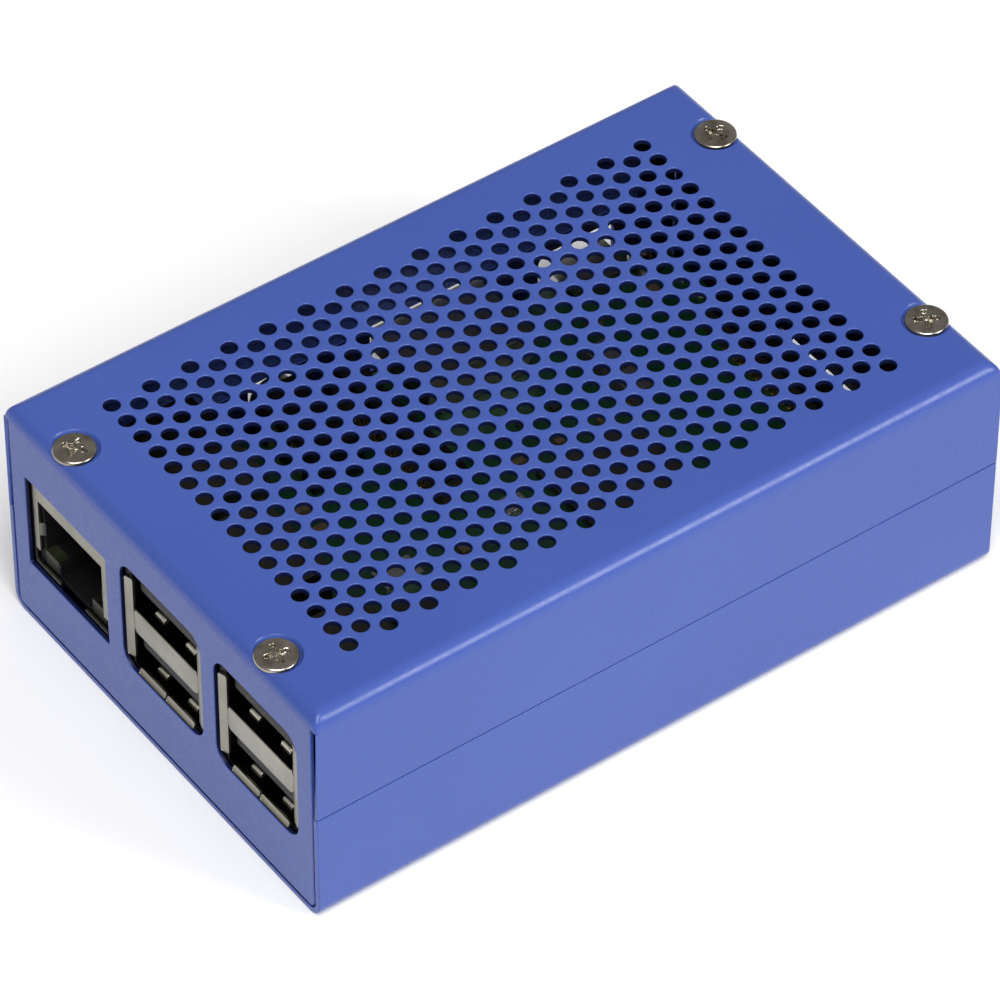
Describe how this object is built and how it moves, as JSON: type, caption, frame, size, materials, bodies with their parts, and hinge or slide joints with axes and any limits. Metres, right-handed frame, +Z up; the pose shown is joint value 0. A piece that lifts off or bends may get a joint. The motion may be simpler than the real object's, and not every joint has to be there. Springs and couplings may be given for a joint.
{
  "type": "single board computer",
  "caption": "Small computer board in a folded steel case with a perforated lift-off cover, network and USB ports at one end and a memory card slot at the other.",
  "frame": {"origin": "centre of the footprint, on the face the case rests on", "axes": "+X along the case towards the network and USB ports, +Y across it towards the pin header side, +Z up through the perforated cover"},
  "size_m": [0.0928, 0.0598, 0.031],
  "materials": {
    "case_paint": "fine satin powder paint",
    "nickel_screw": "nickel plated, slightly worn",
    "bright_steel": "turned, zinc plated",
    "tinned_shell": "tin plated sheet",
    "black_insert": "moulded, fine texture",
    "gold_contact": "gold plated",
    "signal_window": "clear moulded light guide",
    "board_laminate": "green solder mask",
    "pale_plastic": "moulded",
    "dark_latch": "moulded",
    "chip_resin": "moulded package",
    "ferrite": "sintered",
    "capacitor_ceramic": "fired ceramic with tin ends",
    "crystal_can": "drawn can",
    "light_lens": "clear moulded"
  },
  "bodies": {
    "case": {"bottom_tray": "case_paint", "front_bracket": "case_paint", "rear_bracket": "case_paint", "standoffs": "bright_steel", "board_screws": "nickel_screw", "circuit_board": "board_laminate", "usb_shell_middle": "tinned_shell", "usb_insert_middle": "black_insert", "usb_contacts_middle": "gold_contact", "usb_shell_side": "tinned_shell", "usb_insert_side": "black_insert", "usb_contacts_side": "gold_contact", "network_shell": "tinned_shell", "network_housing": "black_insert", "network_contacts": "gold_contact", "network_windows": "signal_window", "video_shell": "tinned_shell", "video_insert": "black_insert", "video_contacts": "gold_contact", "power_shell": "tinned_shell", "power_tongue": "black_insert", "audio_body": "black_insert", "audio_contacts": "gold_contact", "header_base": "black_insert", "header_pins": "gold_contact", "camera_connector": "pale_plastic", "camera_contacts": "gold_contact", "display_connector": "pale_plastic", "display_contacts": "gold_contact", "processor": "chip_resin", "memory_chip": "chip_resin", "network_chip": "chip_resin", "power_chip": "chip_resin", "coils": "ferrite", "capacitors": "capacitor_ceramic", "resistors": "chip_resin", "crystals": "crystal_can", "status_lights": "light_lens", "card_socket": "tinned_shell"},
    "cover": {"top_cover": "case_paint", "cover_screws": "nickel_screw"},
    "camera_latch": {"camera_latch": "dark_latch"},
    "display_latch": {"display_latch": "dark_latch"},
    "memory_card": {"memory_card": "chip_resin"}
  },
  "joints": [
    {"name": "cover_lift", "type": "slide", "parent": "case", "child": "cover", "axis": [0, 0, 1], "range_m": [0, 0.045]},
    {"name": "card_pull", "type": "slide", "parent": "case", "child": "memory_card", "axis": [-1, 0, 0], "range_m": [0, 0.016]},
    {"name": "camera_latch_lift", "type": "slide", "parent": "case", "child": "camera_latch", "axis": [0, 0, 1], "range_m": [0, 0.0012]},
    {"name": "display_latch_lift", "type": "slide", "parent": "case", "child": "display_latch", "axis": [0, 0, 1], "range_m": [0, 0.0012]}
  ]
}
